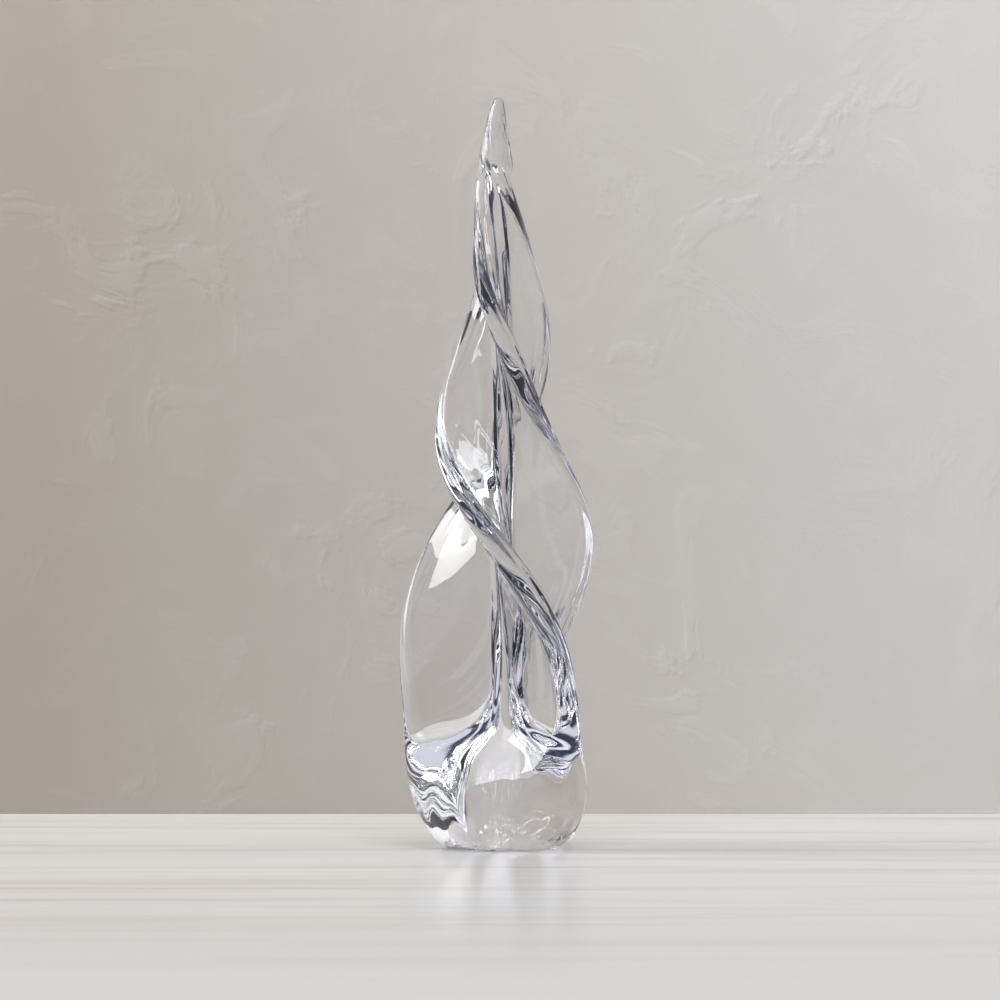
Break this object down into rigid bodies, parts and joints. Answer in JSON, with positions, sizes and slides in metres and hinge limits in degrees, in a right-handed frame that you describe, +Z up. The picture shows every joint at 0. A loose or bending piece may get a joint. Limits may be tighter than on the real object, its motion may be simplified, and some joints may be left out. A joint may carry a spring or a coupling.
{
  "type": "glass tree sculpture",
  "caption": "Clear solid-glass tree ornament: twisted fins with rounded edges wind round a slender trunk, from a heavy rounded base with a flat underside up to a drawn-out tip.",
  "frame": {"origin": "middle of the flat underside, on the upright axis that the fins wind round", "axes": "+Z up along the trunk to the tip; -Y is the front seen in the picture; +X is to its right"},
  "size_m": [0.1042, 0.1064, 0.4],
  "materials": {
    "clear_glass": "fire-polished, clear and colourless"
  },
  "bodies": {
    "root": {"base": "clear_glass", "trunk": "clear_glass", "left_fin": "clear_glass", "left_rim": "clear_glass", "right_fin": "clear_glass", "right_rim": "clear_glass", "back_fin": "clear_glass", "back_rim": "clear_glass", "tip": "clear_glass"}
  },
  "joints": []
}
